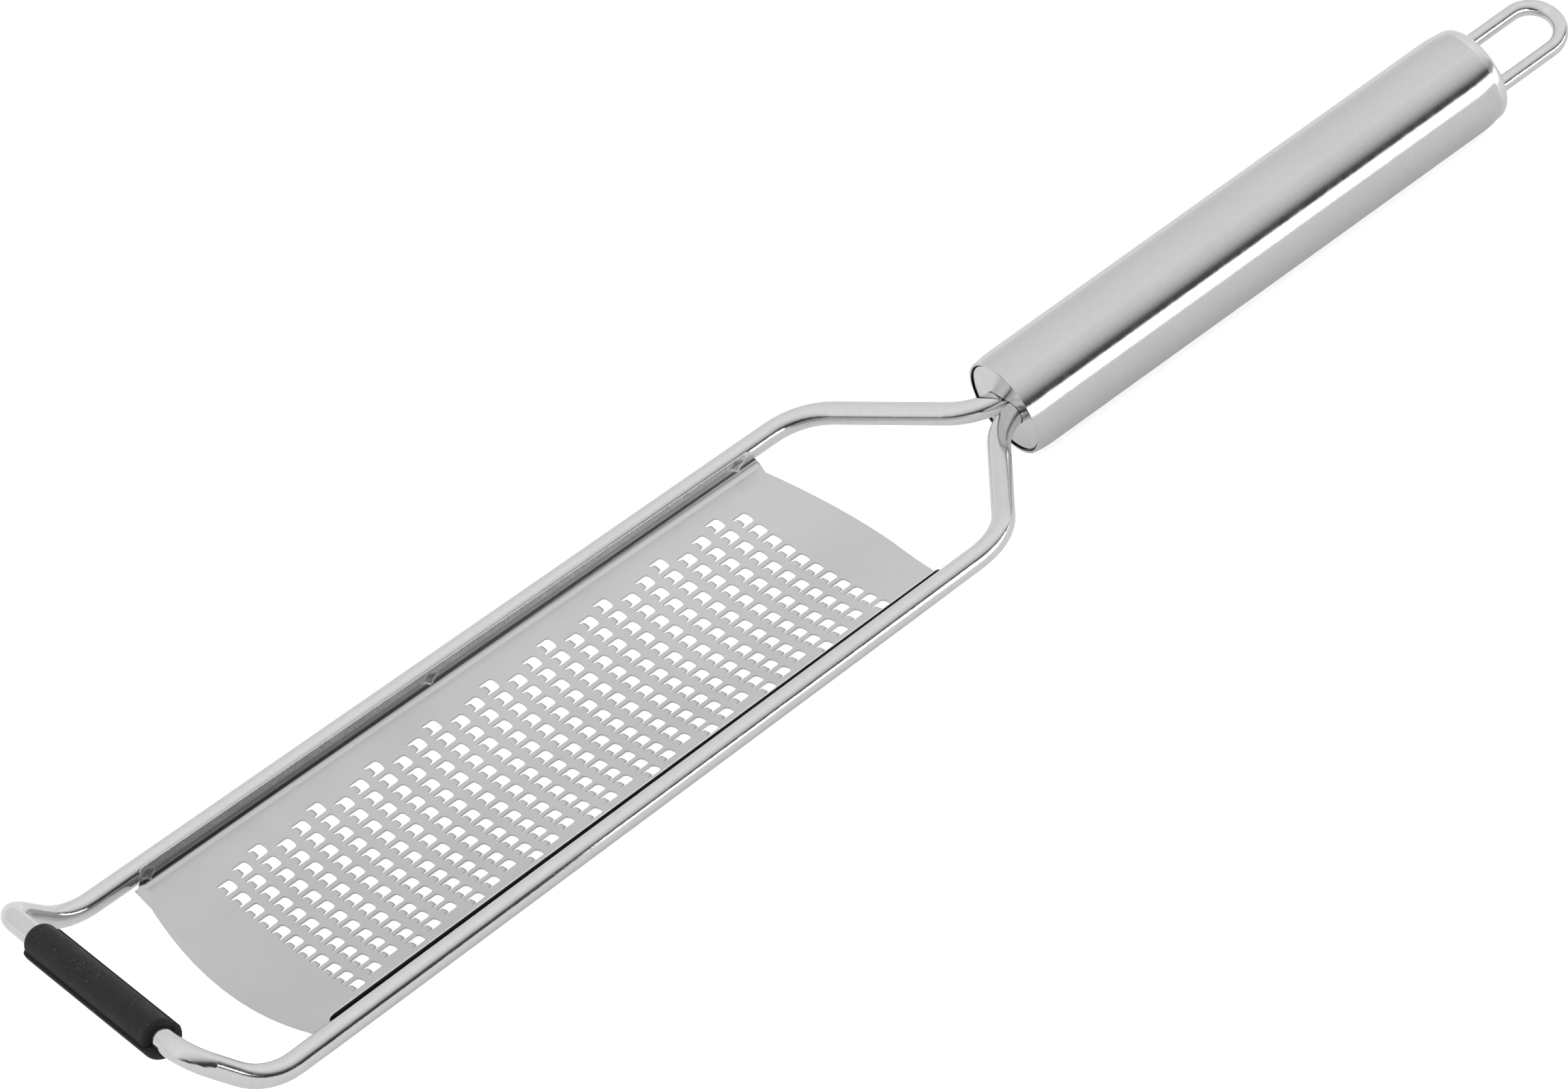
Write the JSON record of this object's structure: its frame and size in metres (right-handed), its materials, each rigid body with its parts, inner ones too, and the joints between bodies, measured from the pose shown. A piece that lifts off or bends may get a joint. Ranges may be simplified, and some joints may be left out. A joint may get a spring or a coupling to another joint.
{
  "type": "rasp zester",
  "caption": "Hand rasp zester: a shallow toothed steel blade in a bent wire frame with a black rubber foot, a round tube handle and a hanging loop.",
  "frame": {"origin": "on the floor under the middle of the whole length, with the handle's underside on the floor", "axes": "+X from the hanging loop to the nose, +Y across the blade, +Z from the toothed side to the hollow side of the blade"},
  "size_m": [0.3122, 0.068, 0.0251],
  "materials": {
    "wire_steel": "polished stainless wire",
    "blade_steel": "satin stainless sheet",
    "handle_steel": "finely brushed stainless tube",
    "plug_steel": "satin stainless",
    "foot_rubber": "matt black rubber"
  },
  "bodies": {
    "root": {"frame_wire": "wire_steel", "grating_blade": "blade_steel", "foot_sleeve": "foot_rubber", "handle_tube": "handle_steel", "front_plug": "plug_steel", "rear_cap": "plug_steel", "hanging_loop": "wire_steel"}
  },
  "joints": []
}
